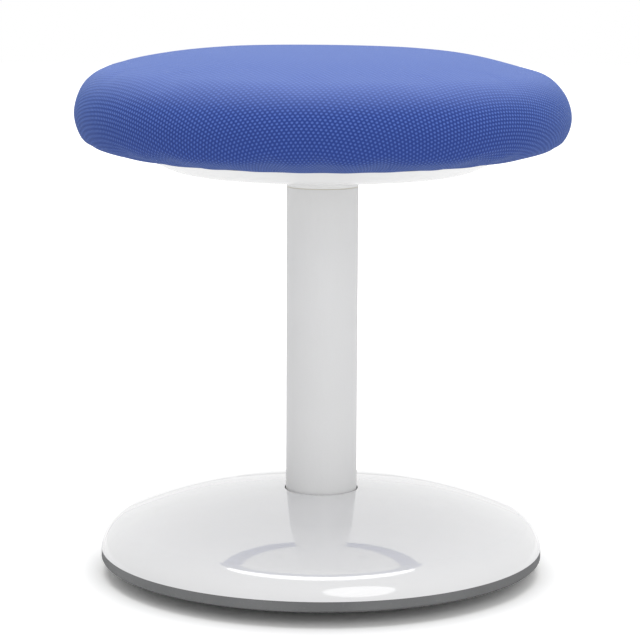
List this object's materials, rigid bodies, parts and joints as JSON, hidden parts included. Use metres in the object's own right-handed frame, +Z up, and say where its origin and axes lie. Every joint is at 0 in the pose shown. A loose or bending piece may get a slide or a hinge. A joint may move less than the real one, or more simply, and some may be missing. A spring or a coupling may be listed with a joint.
{
  "type": "wobble stool",
  "caption": "Low stool with a round blue fabric cushion that turns on a white column, and a glossy dome base with a convex rubber foot that rocks.",
  "frame": {"origin": "on the floor, on the column's axis, under the middle of the rocker foot", "axes": "+Z up along the column; the stool is the same all round, so X and Y are free, with seat bolts on both"},
  "size_m": [0.3292, 0.3292, 0.356],
  "materials": {
    "foot_rubber": "matte",
    "seal_rubber": "matte",
    "tub_plastic": "matte",
    "ballast_iron": "matte",
    "dome_white": "gloss",
    "pan_white": "gloss",
    "column_white": "satin",
    "flange_black": "satin",
    "plated_steel": "satin",
    "bearing_steel": "polished",
    "bush_nylon": "satin",
    "cage_brass": "satin",
    "board_ply": "matte",
    "foam_grey": "matte",
    "seat_blue": "matte"
  },
  "bodies": {
    "base": {"rocker_foot": "foot_rubber", "base_tub": "tub_plastic", "ballast_casting": "ballast_iron", "dome_screws": "plated_steel", "ballast_screws": "plated_steel", "base_dome": "dome_white", "column_tube": "column_white", "column_flange": "flange_black", "flange_washers": "plated_steel", "flange_bolts": "plated_steel", "dome_seal": "seal_rubber", "head_plug": "plated_steel", "guide_plug": "plated_steel", "upper_bush": "bush_nylon", "lower_bush": "bush_nylon", "lower_race": "bearing_steel"},
    "ball_cage": {"bearing_cage": "cage_brass", "bearing_balls": "bearing_steel"},
    "seat": {"upper_race": "bearing_steel", "spindle": "plated_steel", "spindle_washer": "plated_steel", "snap_ring": "plated_steel", "swivel_plate": "flange_black", "seat_washers": "plated_steel", "seat_bolts": "plated_steel", "tee_nuts": "plated_steel", "seat_board": "board_ply", "seat_foam": "foam_grey", "seat_cover": "seat_blue", "cover_staples": "plated_steel", "seat_pan": "pan_white", "pan_screws": "plated_steel"}
  },
  "joints": [
    {"name": "seat_swivel", "type": "hinge", "parent": "base", "child": "seat", "pos_m": [0, 0, 0.2681], "axis": [0, 0, 1], "continuous": true},
    {"name": "cage_turn", "type": "hinge", "parent": "base", "child": "ball_cage", "pos_m": [0, 0, 0.2681], "axis": [0, 0, 1], "continuous": true}
  ],
  "couplings": [
    {"joint": "cage_turn", "follows": "seat_swivel", "ratio": 0.5}
  ]
}
